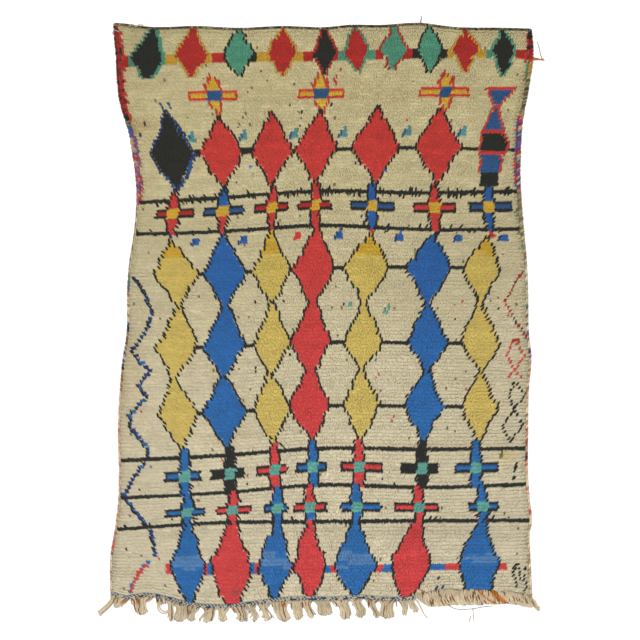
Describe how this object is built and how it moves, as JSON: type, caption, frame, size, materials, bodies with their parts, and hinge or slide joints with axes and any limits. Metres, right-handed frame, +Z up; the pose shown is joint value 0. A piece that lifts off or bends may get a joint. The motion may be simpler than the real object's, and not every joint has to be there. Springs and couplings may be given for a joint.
{
  "type": "hand-knotted wool pile rug",
  "caption": "Flat hand-knotted wool pile rug with coloured lozenge columns, overcast selvedges, a corded head and a knotted warp fringe.",
  "frame": {"origin": "centre of the rug's underside, on the surface it lies on, the fringe and corner tassel included", "axes": "+X along the knot rows, +Y along the warp from the fringed foot to the corded head, +Z up out of the pile"},
  "size_m": [1.4144, 1.9214, 0.014],
  "materials": {
    "pile_wool": "cut wool pile, cream ground with madder red, indigo, weld yellow, teal and charcoal motifs",
    "selvedge_wool": "overcast wool yarn, red, blue, violet and black",
    "head_cord_wool": "twined cord of dark and cream wool",
    "twining_wool": "twined band of blue and cream wool",
    "warp_yarn": "plied undyed warp yarn, beige with brown and rust ends"
  },
  "bodies": {
    "root": {"pile_field": "pile_wool", "left_selvedge": "selvedge_wool", "right_selvedge": "selvedge_wool", "head_cord": "head_cord_wool", "foot_twining": "twining_wool", "warp_fringe": "warp_yarn", "corner_plait": "warp_yarn"}
  },
  "joints": []
}
